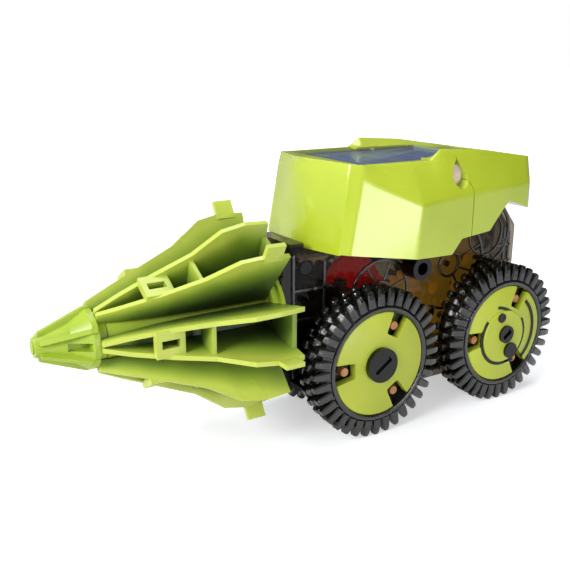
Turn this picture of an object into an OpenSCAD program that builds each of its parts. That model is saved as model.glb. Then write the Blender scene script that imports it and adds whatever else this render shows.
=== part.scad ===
// Solar robot kit in its drill vehicle build.
// +X points to the drill tip, +Y to the left side and +Z up. The sub-parts are drawn about the front
// axle, and row() moves them so that the origin is on the ground under the middle of the vehicle.

/* [Wheels] */
// Radius of a wheel to the tips of its studs
wheel_r = 23.5; // [20:0.5:28]
// Gap between the front and the rear wheel's studs
wheel_gap = 5.2; // [4:0.1:14]
// Height of the tread studs
stud_h = 2.8; // [2:0.1:3.2]
// Studs in one row of the tread
stud_n = 36; // [30:2:40]
// Width of a wheel
wheel_w = 10.7; // [8.8:0.1:13]
// Radius of the green hub cover
cover_r = 15; // [12.5:0.5:18]
// Radius of both axles
axle_r = 1.5; // [1.3:0.1:1.8]

/* [Gearbox] */
// Gap between the crown gear's back and the casing's right wall
crown_gap = 0.48; // [0.3:0.02:2.4]
// Thickness of the casing's side walls
case_wall = 1.4; // [1.1:0.1:1.7]
// Distance from the front axle forward to the casing's front
case_front = 25; // [23:0.5:30]
// Distance from the rear axle gear's teeth back to the casing's rear
case_rear = 2.75; // [2.2:0.05:5]
// Height of the casing's top above the axles
case_top = 41; // [39:0.5:46]
// Width of a gear's teeth
gear_w = 3; // [2.4:0.1:3.6]
// Radius of the fixed pins that the gears turn on
pin_r = 1; // [0.8:0.1:1.2]
// Radius of the motor's can
motor_r = 10; // [8:0.5:12]
// Length of the motor's can
motor_l = 8.8; // [7:0.2:10.6]
// Height of the motor's can across its two flats
motor_flat = 14.4; // [12:0.2:17.4]

/* [Drill] */
// Height of the drill's axis above the axles
drill_z = 17.8; // [17:0.2:19]
// Largest radius of the petals
drill_r = 27.5; // [24:0.5:30]
// Length of a petal
petal_l = 49.5; // [42:0.5:60]
// Wall of a petal
petal_wall = 1.3; // [1:0.1:1.6]
// Length of the nose cone in front of the petals
nose_l = 17.6; // [14:0.2:22]
// Radius of the drill's shaft
shaft_r = 1.5; // [1.2:0.1:1.8]

/* [Shell] */
// How far the shell's lower front corners stand out past the solar panel's side
shell_side = 3.7; // [3:0.1:8]
// Wall of the shell
shell_wall = 1.8; // [1.4:0.1:2.2]
// Height of the shell's top edge above the casing's top
shell_rise = 19.2; // [16:0.1:24]
// Length of the shell behind the solar panel
shell_back = 19.5; // [16:0.5:24]
// Length of the solar panel
panel_l = 50; // [41:1:60]
// Width of the solar panel
panel_w = 38; // [31:1:46]
// Width of the gap along the seam between the two shells
seam = 0.2; // [0.1:0.05:0.4]

/* [Fits] */
// Radial clearance of a shaft in its bore
run_fit = 0.05; // [0.02:0.01:0.1]
// Clearance between pieces that drop into each other
drop_fit = 0.2; // [0.1:0.05:0.3]
// Side clearance between pieces that turn past each other
side_gap = 0.6; // [0.4:0.1:0.8]
// Radius of the side sockets' bore
socket_r = 2; // [1.6:0.1:2.4]
// How far the side sockets stand out from the casing
socket_l = 5.5; // [4.5:0.5:7]

/* [Hidden] */
$fn = 48;
SIDES = ["left", "right"];
PETALS = 6;

wheelbase = 2 * wheel_r + wheel_gap;

// Gears: one module and pressure angle for all of them
gear_m = 1;
press_angle = 25;
addendum = 0.85 * gear_m;
dedendum = 1.15 * gear_m;
backlash = 0.24;
axle_teeth = 20;
drive_teeth = floor(wheelbase / gear_m) - axle_teeth + 1;
small_teeth = 10;
large_teeth = 27;
motor_teeth = 9;
spur_teeth = 12;
crown_pegs = 18;
drill_teeth = 8;
function pitch_r(teeth) = gear_m * teeth / 2;
function tip_r(teeth) = pitch_r(teeth) + addendum;
function centres(a, b) = pitch_r(a) + pitch_r(b);

// Gear centres as [x, z] about the front axle
front_at = [0, 0];
rear_at = [-wheelbase, 0];
drive_at = [-wheelbase / 2, sqrt(pow(centres(axle_teeth, drive_teeth), 2) - pow(wheelbase / 2, 2))];
// The compound gear and the motor stand as high as the casing's roof lets them
roof = case_top - case_wall;
function raise(space, reach, most) = 180 - asin(min(most, space / reach));
compound_turn = raise(roof - 1.68 - tip_r(large_teeth) - drive_at[1], centres(drive_teeth, small_teeth), 0.883);
compound_at = drive_at + centres(drive_teeth, small_teeth) * [cos(compound_turn), sin(compound_turn)];
motor_turn = raise(roof - 0.38 - motor_flat / 2 - compound_at[1], centres(large_teeth, motor_teeth), 0.47);
motor_at = compound_at + centres(large_teeth, motor_teeth) * [cos(motor_turn), sin(motor_turn)];
spur_drop = drill_z - drive_at[1];
crown_at = [drive_at[0] + sqrt(pow(centres(drive_teeth, spur_teeth), 2) - pow(spur_drop, 2)), drill_z];
function direction(a, b) = atan2(b[1] - a[1], b[0] - a[0]);

// Turn of a gear that meshes with another one, which has teeth_a and stands at turn_a
function mesh_turn(at_a, at_b, turn_a, teeth_a, teeth_b) =
    direction(at_a, at_b) + 180 + 180 / teeth_b
    + (direction(at_a, at_b) - turn_a) * teeth_a / teeth_b;
axle_turn_front = mesh_turn(drive_at, front_at, 0, drive_teeth, axle_teeth);
axle_turn_rear = mesh_turn(drive_at, rear_at, 0, drive_teeth, axle_teeth);
compound_phase = mesh_turn(drive_at, compound_at, 0, drive_teeth, small_teeth);
motor_phase = mesh_turn(compound_at, motor_at, compound_phase, large_teeth, motor_teeth);
spur_phase = mesh_turn(drive_at, crown_at, 0, drive_teeth, spur_teeth);

// Crown gear and drill pinion
peg_circle = 8.6;
drill_pitch = peg_circle * drill_teeth / crown_pegs;
peg_h = 1.9;
peg_tip_y = -drill_pitch + 0.8;
peg_root_y = peg_tip_y - peg_h;
crown_t = 2.2;
crown_r = peg_circle + 1.4;
crown_back = crown_t - peg_root_y;
drill_pinion_x = crown_at[0] + peg_circle - 1.1;
drill_pinion_l = 2.2;

// Layers across the casing, from its left wall inwards
case_in = crown_back + crown_gap;
case_half = case_in + case_wall;
outer_y = case_in - 0.4 - gear_w;
inner_y = outer_y - side_gap - gear_w;
boss_gap = 0.3;

// Wheels
wheel_in = case_half + 1;
wheel_out = wheel_in + wheel_w;
drum_r = wheel_r - stud_h;
cover_seat = cover_r + drop_fit;
rim_r = cover_seat + (drum_r - cover_seat) * 0.51;
tyre_t = 3.2;
cover_t = 1.8;
cover_y = wheel_out - 0.3 - cover_t;
web_t = 2;
web_in = cover_y - 1.6 - web_t;
row_gap = 0.8;
row_w = (wheel_w - 0.8 - 2 * row_gap) / 3;
window_turns = [118, 238, 358];
window_in = cover_r - 5.8;
window_w = 5.6;
window_pin_r = 1.3;
window_pin_at = cover_r - 2.7;
cap_r = 5.4;
cap_t = 1.3;
axle_half = wheel_out + 0.4;
crank_at = [-2.4, -6.1];
guide_at = [2.4, 6];
rail_at = [-1.5, -1.2];
rail_r = cover_r - 3.8;

// Drill
plate_t = 2.5;
plate_x = case_front;
petal_back = plate_x + 6.5;
petal_front = petal_back + petal_l;
nose_base = petal_front - 2.4;
drill_tip = nose_base + nose_l + 0.4;
hub_x = plate_x + plate_t + 0.7;
petal_floor_r = 6.8;

// Shell
tail = wheelbase + wheel_r;
mid_x = (drill_tip - tail) / 2;
shell_front_x = case_front - 7;
shell_half = panel_w / 2 + shell_side;
shell_top = case_top + shell_rise;
shell_low = case_top - 11;
panel_front = shell_front_x - 8.5;
panel_rear = panel_front - panel_l;
panel_t = shell_wall + 0.2;
panel_top = shell_top - 0.6;
cells_t = 0.6;
cell_rim = 1.2;
cover_glass_t = 0.8;
frame_base = panel_top - cover_glass_t - cells_t - panel_t;
tray_t = 1.6;
tray_base = frame_base - tray_t;
seam_x = -30;
eye_at = [-25.6, shell_top - 4.9];
brow_in = panel_w / 2 - 3.2;
eye_r = 3.6;
eye_back = panel_w / 2 + 0.1;
rear_at_x = panel_rear - shell_back;

// Screws
screw_r = 1;
head_r = 1.9;
head_t = 1;
case_screw_at = [
    [case_front - 5.6, shell_low],
    [case_front - 6.6, -3],
    [-8, -11.5],
    [rear_at[0] + 8, -11.5],
    [rear_at[0] - 9.2, 18],
    [-17, case_top - 7]];
tray_post_at = [[-4, 5.2], [-37, 5.2]];
ledge_x = panel_front + 1.6;
tray_half = panel_w / 2 - 6.4;
rear_post_at = [panel_rear - 5.5, panel_w / 2 - 9];

// Wires, from the motor's terminals to their holes under the panel
wire_r = 0.6;
wire_holes = [[panel_rear + 5.1, 7 - panel_w / 2], [panel_rear + 10.5, panel_w / 2 - 9]];

module row() translate([-mid_x, 0, wheel_r]) children();

// Draws an [x, z] outline along Y, from y0 to y1
module across(y0, y1) translate([0, y1, 0]) rotate([90, 0, 0]) linear_extrude(y1 - y0) children();

// A round bar along Y at an [x, z] place
module bar_y(at, r, y0, y1) translate([at[0], y0, at[1]]) rotate([-90, 0, 0]) cylinder(r = r, h = y1 - y0);

// A round bar along X at the drill's height
module bar_x(r, x0, x1) translate([x0, 0, drill_z]) rotate([0, 90, 0]) cylinder(r = r, h = x1 - x0);

// Mirrors a left-hand piece for the right-hand side
module on_side(side) if (side == "left") children(); else mirror([0, 1, 0]) children();

function deg(x) = x * 180 / PI;
function involute(angle) = tan(angle) - angle * PI / 180;
function half_tooth(teeth, r) = let (base = pitch_r(teeth) * cos(press_angle))
    90 / teeth - deg(backlash / 4 / pitch_r(teeth))
    + deg(involute(press_angle) - (r > base ? involute(acos(base / r)) : 0));
function polar(r, a) = [r * cos(a), r * sin(a)];

// Outline of a gear with two straight facets to each tooth flank
module gear_outline(teeth, turn) {
    base = pitch_r(teeth) * cos(press_angle);
    root = pitch_r(teeth) - dedendum;
    low = max(base, root);
    radii = [low, (low + tip_r(teeth)) / 2, tip_r(teeth)];
    polygon([for (i = [0:teeth - 1]) let (a = turn + i * 360 / teeth) each concat(
        [polar(root, a - half_tooth(teeth, low))],
        [for (r = radii) polar(r, a - half_tooth(teeth, r))],
        [for (k = [2:-1:0]) polar(radii[k], a + half_tooth(teeth, radii[k]))],
        [polar(root, a + half_tooth(teeth, low))])]);
}

// A gear at an [x, z] place with its own bore
module gear(at, teeth, turn, y0, y1, bore) {
    difference() {
        translate([at[0], 0, at[1]]) across(y0, y1) gear_outline(teeth, turn);
        bar_y(at, bore, y0 - 1, y1 + 1);
    }
}

// ---- gearbox casing ----

// The casing's top stays under the shell's front edge and ends in a hook before it
front_top = shell_low + 3.9;
hook_top = front_top + 3.7;
case_drop = drive_at[1] - tip_r(drive_teeth) - 0.8 - case_wall;
case_back = rear_at[0] - tip_r(axle_teeth) - case_rear;
// Casing outline in side view, drawn in by an inset
module case_outline(inset) {
    rear = case_back;
    polygon([
        [case_front - inset, hook_top - inset],
        [case_front - inset, -4 + inset * 0.7],
        [11 - inset * 0.5, case_drop + inset],
        [rear_at[0] - 6.5 + inset * 0.5, case_drop + inset],
        [rear + 1.2 + inset, -9 + inset * 0.5],
        [rear + 1.2 + inset, 13],
        [rear + inset, 21],
        [rear + inset, 33.5 - inset * 0.5],
        [rear + 6 + inset * 0.5, case_top - inset],
        [-16 - inset * 0.5, case_top - inset],
        [-10.5 - inset * 0.5, front_top - inset],
        [case_front - 4.6 + inset, front_top - inset],
        [case_front - 4.6 + inset, hook_top - inset]]);
}

boss_at = [front_at, rear_at, drive_at, compound_at, crown_at];
// Where the bosses on the left and the right wall end, seen from the wall
boss_left = [inner_y + gear_w, inner_y + gear_w, inner_y + gear_w, outer_y + gear_w, inner_y + gear_w];
boss_right = [-inner_y, -inner_y, -inner_y, -inner_y, case_in - 0.5 + boss_gap];

// One half of the casing, seen from the middle. The left one takes the screws' heads, and the right
// one seats the motor.
module case_half_shell(ends, left) {
    difference() {
        union() {
            difference() {
                across(0, case_half) case_outline(0);
                across(-1, case_in) case_outline(case_wall);
            }
            for (i = [0:len(boss_at) - 1]) {
                bar_y(boss_at[i], 2.6, max(ends[i] + boss_gap, 0.2), case_half - 0.1);
            }
            for (at = case_screw_at) bar_y(at, 2.6, 0, case_half - 0.1);
        }
        bar_y(front_at, axle_r + run_fit, -1, case_half + 1);
        bar_y(rear_at, axle_r + run_fit, -1, case_half + 1);
        for (at = [drive_at, compound_at, crown_at]) bar_y(at, pin_r, -1, case_half - 0.5);
        for (at = case_screw_at) {
            bar_y(at, screw_r, -1, left ? case_half + 1 : case_half - 2);
            if (left) bar_y(at, head_r + 0.1, case_half - head_t, case_half + 1);
        }
        // way out for the drill shaft and the plate's bush
        bar_x(bush_r, case_front - case_wall - 1, case_front + 1);
        motor_body(motor_r + 0.3, motor_flat + 0.6, -1, left ? can_front + 0.3 : seat_end);
        if (!left) {
            // way out for the motor's wires
            translate([motor_at[0] - 4.5, -cap_in_y - 1.2, case_top - 4]) cube([9, 2.8, 6]);
        }
        // pocket for the side socket's peg
        bar_y(socket_at, 1.2, case_in - 0.2, case_half + 1);
    }
}

socket_at = [-20.3, 25.4];
bush_r = shaft_r + 2.4;

module gearbox_left() color("dimgray", 0.6) row() case_half_shell(boss_left, true);
module gearbox_right() color("dimgray", 0.6) row() mirror([0, 1, 0]) case_half_shell(boss_right, false);

module case_screws() color("black") row()
    for (at = case_screw_at) {
        bar_y(at, head_r, case_half - head_t, case_half);
        bar_y(at, screw_r, -case_half + 2.2, case_half - head_t);
    }

module gear_pins() color("silver") row()
    for (at = [drive_at, compound_at, crown_at]) bar_y(at, pin_r, -case_half + 0.5, case_half - 0.5);

module front_plate() color([0.1, 0.1, 0.1]) row() {
    difference() {
        union() {
            translate([plate_x, -case_half - 0.4, -6]) cube([plate_t, 2 * case_half + 0.8, front_top + 6]);
            for (y = [-case_half - 0.4, case_half - 1.2], z = [-2, 5, 25, 31]) {
                translate([plate_x + plate_t, y, z]) cube([0.5, 1.6, 3.4]);
            }
        }
        bar_x(bush_r, plate_x - 1, plate_x + plate_t + 1);
    }
}

module drill_bush() color("dimgray") row()
    difference() {
        bar_x(bush_r, plate_x - case_wall, plate_x + plate_t);
        bar_x(shaft_r + run_fit, plate_x - case_wall - 1, plate_x + plate_t + 1);
    }

bearing_x = 9;
module shaft_bearing() color([0.12, 0.12, 0.12]) row()
    difference() {
        translate([bearing_x, -case_in, drill_z - 4.6]) cube([3, 2 * case_in, 9.2]);
        bar_x(shaft_r + run_fit, bearing_x - 1, bearing_x + 4);
    }

// Black socket on the casing's side, with its bore open outwards
module socket(side) color([0.08, 0.08, 0.08]) row() on_side(side)
    difference() {
        union() {
            bar_y(socket_at, 3.8, case_half, case_half + socket_l);
            bar_y(socket_at, 1.2, case_in, case_half + 0.1);
        }
        bar_y(socket_at, socket_r, case_half + 1, case_half + socket_l + 1);
    }

// ---- motor ----

can_front = outer_y - 0.8;
cap_in_y = can_front - motor_l;
cap_t_y = 2;
seat_end = cap_t_y + 0.3 - cap_in_y;
terminal_x = 2.3;
terminal_w = 1.8;
terminal_t = 0.6;
terminal_y = cap_in_y - 1.3;
terminal_low = motor_at[1] + 3;
terminal_h = 7.2;

// A round body with two flats, along Y at the motor's place
module motor_body(r, flat, y0, y1) {
    intersection() {
        bar_y(motor_at, r, y0, y1);
        translate([motor_at[0] - r - 1, y0 - 1, motor_at[1] - flat / 2]) cube([2 * r + 2, y1 - y0 + 2, flat]);
    }
}

module motor_can() color("silver") row()
    difference() {
        motor_body(motor_r, motor_flat, cap_in_y, can_front);
        bar_y(motor_at, pin_r + run_fit, cap_in_y - 1, can_front + 1);
    }

module terminal(side, h) {
    translate([motor_at[0] + side * terminal_x - terminal_w / 2, terminal_y, terminal_low])
        cube([terminal_w, terminal_t, h]);
}

module motor_cap() color("white") row()
    difference() {
        motor_body(motor_r - 0.6, motor_flat, cap_in_y - cap_t_y, cap_in_y);
        bar_y(motor_at, pin_r + run_fit, cap_in_y - cap_t_y - 1, cap_in_y + 1);
        for (side = [-1, 1]) terminal(side, terminal_h - 1);
    }

module motor_terminals() color("gold") row() for (side = [-1, 1]) terminal(side, terminal_h);

module motor_shaft() color("silver") row()
    bar_y(motor_at, pin_r, cap_in_y - 1.8, outer_y + gear_w);

module motor_pinion() color("white") row()
    gear(motor_at, motor_teeth, motor_phase, outer_y, outer_y + gear_w, pin_r);

// ---- gears ----

module compound_gear() color("goldenrod") row()
    difference() {
        union() {
            translate([compound_at[0], 0, compound_at[1]]) {
                across(outer_y, outer_y + gear_w) gear_outline(large_teeth, compound_phase);
                across(inner_y, outer_y) gear_outline(small_teeth, compound_phase);
            }
        }
        bar_y(compound_at, pin_r + run_fit, -case_half, case_half);
        for (a = [0:60:300]) {
            bar_y(compound_at + polar(9.2, a), 1.9, outer_y - 1, outer_y + gear_w + 1);
        }
    }

module drive_gear() color("gold") row()
    difference() {
        gear(drive_at, drive_teeth, 0, inner_y, inner_y + gear_w, pin_r + run_fit);
        for (a = [0:60:300]) {
            bar_y(drive_at + polar(pitch_r(drive_teeth) * 0.6, a), 2.9, inner_y - 1, inner_y + gear_w + 1);
        }
    }

module crown_gear() color("firebrick") row()
    difference() {
        union() {
            bar_y(crown_at, crown_r, peg_root_y - crown_t, peg_root_y);
            bar_y(crown_at, 3, peg_root_y, inner_y);
            translate([crown_at[0], 0, crown_at[1]])
                across(inner_y, inner_y + gear_w) gear_outline(spur_teeth, spur_phase);
            for (i = [0:crown_pegs - 1]) {
                at = crown_at + polar(peg_circle, i * 360 / crown_pegs);
                translate([at[0], peg_root_y, at[1]]) rotate([-90, 0, 0])
                    cylinder(r1 = 0.72, r2 = 0.42, h = peg_h, $fn = 16);
            }
        }
        bar_y(crown_at, pin_r + run_fit, -case_half, case_half);
    }

// ---- drill ----

// Pinion with straight-sided teeth that run between the crown gear's pegs
module drill_pinion() color("white") row()
    difference() {
        translate([drill_pinion_x, 0, drill_z]) rotate([90, 0, 90]) linear_extrude(drill_pinion_l)
            polygon([for (i = [0:drill_teeth - 1]) let (a = (i + 0.5) * 360 / drill_teeth + 180) each [
                polar(drill_pitch - 1.15, a - 18),
                polar(drill_pitch - 0.1, a - 7.2),
                polar(drill_pitch + 0.8, a - 3.8),
                polar(drill_pitch + 0.8, a + 3.8),
                polar(drill_pitch - 0.1, a + 7.2),
                polar(drill_pitch - 1.15, a + 18)]]);
        bar_x(shaft_r, drill_pinion_x - 1, drill_pinion_x + drill_pinion_l + 1);
    }

module drill_shaft() color("silver") row()
    bar_x(shaft_r, drill_pinion_x, nose_base + 6);

module drill_hub() color("yellowgreen") row()
    difference() {
        union() {
            bar_x(12.5, hub_x, hub_x + 1.2);
            for (r = [11.2, 8.2]) difference() {
                bar_x(r, hub_x + 1.2, petal_back - 0.1);
                bar_x(r - 1.4, hub_x + 1.1, petal_back + 1);
            }
            bar_x(petal_floor_r - 0.2, hub_x + 1, nose_base - 0.2);
        }
        bar_x(shaft_r, hub_x - 1, nose_base + 1);
    }

// Petal stations: [x share, outer radius, half width there, half width of the floor]
petal_stations = [
    [0, drill_r - 0.5, 7.5, 3.4],
    [0.15, drill_r, 7.4, 3.4],
    [0.29, drill_r - 1.2, 6.9, 3.4],
    [0.46, drill_r - 7, 5.5, 3.3],
    [0.68, drill_r - 11.5, 4.3, 3],
    [0.86, drill_r - 15.1, 2.9, 2.3],
    [1, drill_r - 18, 1.4, 1.4]];

// Half width of a petal's wall at a radius on a station
function petal_half(s, r) = s[3] + (s[2] - s[3]) * (r - petal_floor_r) / (s[1] - petal_floor_r);

// One ring of a petal's channel, across X, as [tangent, radius]
function petal_ring(s) = let (t = min(petal_wall, s[2] - 0.15), f = min(petal_wall, s[3] - 0.15)) [
    [s[2], s[1]], [s[3], petal_floor_r], [-s[3], petal_floor_r], [-s[2], s[1]],
    [t - s[2], s[1]], [f - s[3], petal_floor_r + petal_wall],
    [s[3] - f, petal_floor_r + petal_wall], [s[2] - t, s[1]]];

// Skin over rings of points, closed at both ends by the given faces. Seen from the last ring's side,
// the points of each ring go round counter-clockwise.
module loft(rings, cap_faces) {
    n = len(rings[0]);
    last = (len(rings) - 1) * n;
    polyhedron(
        points = [for (ring = rings) each ring],
        faces = concat(
            [for (i = [0:len(rings) - 2], k = [0:n - 1]) let (m = (k + 1) % n)
                each [[i * n + k, (i + 1) * n + m, i * n + m], [i * n + k, (i + 1) * n + k, (i + 1) * n + m]]],
            [for (f = cap_faces) [f[0], f[1], f[2]]],
            [for (f = cap_faces) [last + f[2], last + f[1], last + f[0]]]));
}

module petal_shape() {
    loft([for (s = petal_stations) [for (p = petal_ring(s)) [petal_back + s[0] * petal_l, -p[0], p[1]]]],
        [[0, 1, 6], [0, 6, 7], [1, 2, 5], [1, 5, 6], [2, 3, 4], [2, 4, 5]]);
    rear = petal_stations[0];
    // end wall
    wall_top = drill_r - 4.5;
    translate([petal_back, 0, 0]) rotate([90, 0, 90]) linear_extrude(1.4) polygon([
        [petal_half(rear, petal_floor_r + 0.3) - 0.3, petal_floor_r + 0.3],
        [petal_half(rear, wall_top) - 0.3, wall_top],
        [0.3 - petal_half(rear, wall_top), wall_top],
        [0.3 - petal_half(rear, petal_floor_r + 0.3), petal_floor_r + 0.3]]);
    // cross rib
    rib = petal_stations[3];
    translate([petal_back + rib[0] * petal_l - 0.5, 0, 0]) rotate([90, 0, 90]) linear_extrude(1.1) polygon([
        [petal_half(rib, 12) - 0.4, 12],
        [petal_half(rib, rib[1] - 1.4) - 0.4, rib[1] - 1.4],
        [0.4 - petal_half(rib, rib[1] - 1.4), rib[1] - 1.4],
        [0.4 - petal_half(rib, 12), 12]]);
    // buckle loop over the channel
    loop = petal_stations[4];
    loop_x = petal_back + loop[0] * petal_l;
    difference() {
        translate([loop_x - 4, -3.6, loop[1] - 2.2]) cube([8, 7.2, 2.2]);
        translate([loop_x - 2.5, -1.1, loop[1] - 4]) cube([5, 2.2, 6]);
    }
    // tab on one wall
    tab = petal_stations[1];
    translate([petal_back + 2.6, tab[2] - petal_wall, drill_r - 1.6]) cube([5.6, petal_wall, 5.4]);
}

petal_turn = -30;
module drill_petal(i) color("yellowgreen") row() translate([0, 0, drill_z])
    rotate([-(petal_turn + (i - 1) * 360 / PETALS), 0, 0]) petal_shape();

nose_ribs = 6;
nose_r = petal_floor_r + 1.9;
module drill_nose() color("yellowgreen") row()
    difference() {
        union() {
            translate([nose_base, 0, drill_z]) rotate([0, 90, 0]) rotate_extrude() polygon([
                [0, 0], [petal_floor_r - 0.3, 0], [petal_floor_r - 0.3, 2.5], [nose_r - 0.4, 2.5],
                [nose_r - 0.4, 4], [5.2, nose_l * 0.5], [3.3, nose_l * 0.82],
                [2.7, nose_l], [0, nose_l]]);
            for (i = [0:nose_ribs - 1]) translate([0, 0, drill_z])
                rotate([i * 360 / nose_ribs, 0, 0]) across(-0.65, 0.65) polygon([
                    [nose_base + 2.8, 1], [nose_base + 2.8, nose_r], [nose_base + 4.6, nose_r],
                    [nose_base + nose_l - 1.2, 3.9], [nose_base + nose_l - 1.2, 1]]);
            bar_x(1.6, nose_base + nose_l - 1, nose_base + nose_l + 0.4);
        }
        bar_x(shaft_r, nose_base - 1, nose_base + 6);
        // slots between the ribs
        for (i = [0:2]) translate([0, 0, drill_z]) rotate([30 + i * 120, 0, 0])
            translate([nose_base + 4.4, -1.1, 4]) cube([5.6, 2.2, 6]);
    }

// ---- wheels ----

stud_turn = 360 / stud_n;
// Outline of one row of studs; the flat tip of a stud is at wheel_r
module stud_row(turn, tip) {
    half_tip = stud_turn * 0.17;
    half_root = stud_turn * 0.3;
    difference() {
        polygon([for (i = [0:stud_n - 1]) let (a = -90 + turn + i * stud_turn) each [
            polar(drum_r, a - half_root), polar(tip / cos(half_tip), a - half_tip),
            polar(tip / cos(half_tip), a + half_tip), polar(drum_r, a + half_root)]]);
        circle(r = drum_r - 1);
    }
}

module wheel(at, side) color([0.2, 0.19, 0.17]) row() on_side(side)
    translate([at[0], 0, at[1]])
        difference() {
            union() {
                rotate([-90, 0, 0]) rotate_extrude() polygon([
                    [axle_r, wheel_in - 0.3], [4.2, wheel_in - 0.3], [4.2, web_in],
                    [drum_r - tyre_t, web_in], [drum_r - tyre_t, wheel_in + 0.8],
                    [drum_r - tyre_t + 0.8, wheel_in], [drum_r, wheel_in], [drum_r, wheel_out - 0.7],
                    [rim_r + 0.5, wheel_out - 0.7], [rim_r, wheel_out], [cover_seat, wheel_out],
                    [cover_seat, web_in + web_t], [axle_r, web_in + web_t]]);
                for (i = [0:2]) let (y = wheel_in + 0.3 + i * (row_w + row_gap))
                    across(y, y + row_w) stud_row(i % 2 * stud_turn / 2, wheel_r - 0.6 + i * 0.3);
            }
        }

// Three open windows and the bore of a hub cover, as seen from the left
module cover_cuts() {
    bar_y([0, 0], axle_r, wheel_in, wheel_out + 1);
    for (a = window_turns) {
        rotate([0, -a, 0]) translate([window_in, cover_y - 1, -window_w / 2])
            cube([cover_r, cover_t + 2, window_w]);
    }
}

module cover_base() {
    bar_y([0, 0], cover_r, cover_y, cover_y + cover_t);
    bar_y([0, 0], 4.6, web_in + web_t, cover_y);
}

module front_cover(side) color("yellowgreen") row() on_side(side)
    difference() {
        cover_base();
        cover_cuts();
    }

// The rear cover carries a raised cam rail and the seat of the crank pin
module rear_cover(side) color("yellowgreen") row() on_side(side)
    translate([rear_at[0], 0, rear_at[1]]) difference() {
        union() {
            difference() {
                union() {
                    cover_base();
                    difference() {
                        bar_y(rail_at, rail_r, cover_y, wheel_out + 0.5);
                        bar_y(rail_at, rail_r - 1.3, cover_y - 1, wheel_out + 1);
                    }
                }
                cover_cuts();
            }
            bar_y(crank_at, 3.2, cover_y, wheel_out - 0.1);
        }
        bar_y(crank_at, 1.2, web_in + web_t, wheel_out + 1);
        bar_y(guide_at, 1, web_in + web_t, wheel_out + 1);
        bar_y([0, 0], axle_r, wheel_in, wheel_out + 1);
    }

module axle_cap(at, side, r) color([0.06, 0.06, 0.06]) row() on_side(side)
    translate([at[0], 0, at[1]]) difference() {
        bar_y([0, 0], r, wheel_out - 0.3, wheel_out + cap_t);
        bar_y([0, 0], axle_r, wheel_in, axle_half);
        // slot across the cap
        rotate([0, 35, 0]) translate([-r * 0.62, wheel_out + cap_t - 0.7, -0.9]) cube([r * 1.24, 1, 1.8]);
    }

module axle(at) color("silver") row() bar_y(at, axle_r, -axle_half, axle_half);

module window_pins(at) color([0.72, 0.45, 0.25]) row()
    for (side = SIDES, a = window_turns) on_side(side)
        bar_y(at + polar(window_pin_at, a), window_pin_r, web_in + web_t, cover_y + 0.6);

// Crank pins through the rear covers, and the guide pins above them
module crank_pins() color([0.06, 0.06, 0.06]) row()
    for (side = SIDES) on_side(side) {
        bar_y(rear_at + crank_at, 1.2, web_in + web_t, wheel_out);
        bar_y(rear_at + crank_at, 2.7, wheel_out - 0.1, wheel_out + cap_t);
        bar_y(rear_at + guide_at, 1, web_in + web_t, wheel_out);
        bar_y(rear_at + guide_at, 1.6, wheel_out - 0.3, wheel_out + 0.9);
    }

module axle_gear(at, turn) color("khaki") row()
    gear(at, axle_teeth, turn, inner_y, inner_y + gear_w, axle_r);

// ---- shell ----

// Corners of the left half of the shell, as [x, y, z] at the bottom, the crease and the top, front to back.
// inset draws the walls and the top in
function shell_columns(inset) = let (
    h = shell_half - inset, top = shell_top - inset, low = shell_low - inset, f = inset * 1.1,
    x = shell_front_x, lip = shell_top - 3.2, crease = shell_top - 11.2) [
    [[x - f, 0, low], [x - f, 0, lip], [x - f, 0, top + 1.2]],
    [[x - 2 - f, h - 1.2, low], [x - 6.5 - f, h - 3.1, lip], [x - 7.1 - f, h - 3.4, top + 0.2]],
    [[x - 4 - f, h + 0.4, low], [x - 9.4 - f, h - 1.5, lip], [x - 10 - f, h - 1.8, top]],
    [[x - 25, h + 1.9, low], [x - 26.2, h + 2.3, crease], [x - 26.2, h - 1.9, top - 0.2]],
    [[seam_x, h + 1.3, low], [seam_x, h + 1.7, crease + 1], [seam_x, h - 2.2, top - 0.2]],
    [[rear_at_x + 2 + inset, h - 1, low], [rear_at_x + 0.8 + inset, h - 2, crease + 1],
        [rear_at_x + inset, h - 4.1, top - 2.8]],
    [[rear_at_x + inset, 0, low], [rear_at_x - 1 + inset, 0, crease + 1],
        [rear_at_x - 1.5 + inset, 0, top - 2.2]]];

function flip(p) = [p[0], -p[1], p[2]];
// A closed ring of one level: the left half from front to back, then the right half from back to front
function shell_ring(columns, level) = concat(
    [for (c = columns) c[level]],
    [for (i = [len(columns) - 2:-1:1]) flip(columns[i][level])]);

module shell_solid(inset) {
    columns = shell_columns(inset);
    n = 2 * len(columns) - 2;
    loft([for (level = [0:2]) shell_ring(columns, level)],
        [for (k = [1:n - 2]) [0, k, k + 1]]);
}

// Brow ridge over the left eye
module brow() {
    low = shell_top - 1.1;
    out = shell_half - 2.1;
    profile = [
        [-15.7, low + 0.9, 0],
        [-19.6, shell_top + 3.2, 0],
        [-36, shell_top + 2.3, 0.2],
        [rear_at_x + 8, shell_top + 0.2, 0.8],
        [rear_at_x + 0.6, shell_top - 0.7, 2.2]];
    loft([for (p = profile) [
        [p[0], brow_in + 1.2, p[1]], [p[0], out - p[2] - 0.9, p[1]],
        [p[0], out - p[2], low], [p[0], brow_in, low]]],
        [[0, 1, 2], [0, 2, 3]]);
}

// Side view of the space under the shell's lower edge
module under_edge() {
    across(-40, 40) polygon([
        [40, 20], [40, shell_low + 5.8], [shell_front_x, shell_low + 4.6], [14.8, shell_low + 5.8],
        [-7, shell_low + 2.9], [-21.8, shell_low + 2.1], [-26, shell_low + 6.5], [-38.7, shell_low + 7.1],
        [-44.7, shell_low + 13.1], [-47.7, shell_low + 15.5], [rear_at_x + 2, shell_low + 12],
        [rear_at_x - 10, shell_low + 12], [rear_at_x - 10, 20]]);
}

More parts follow.
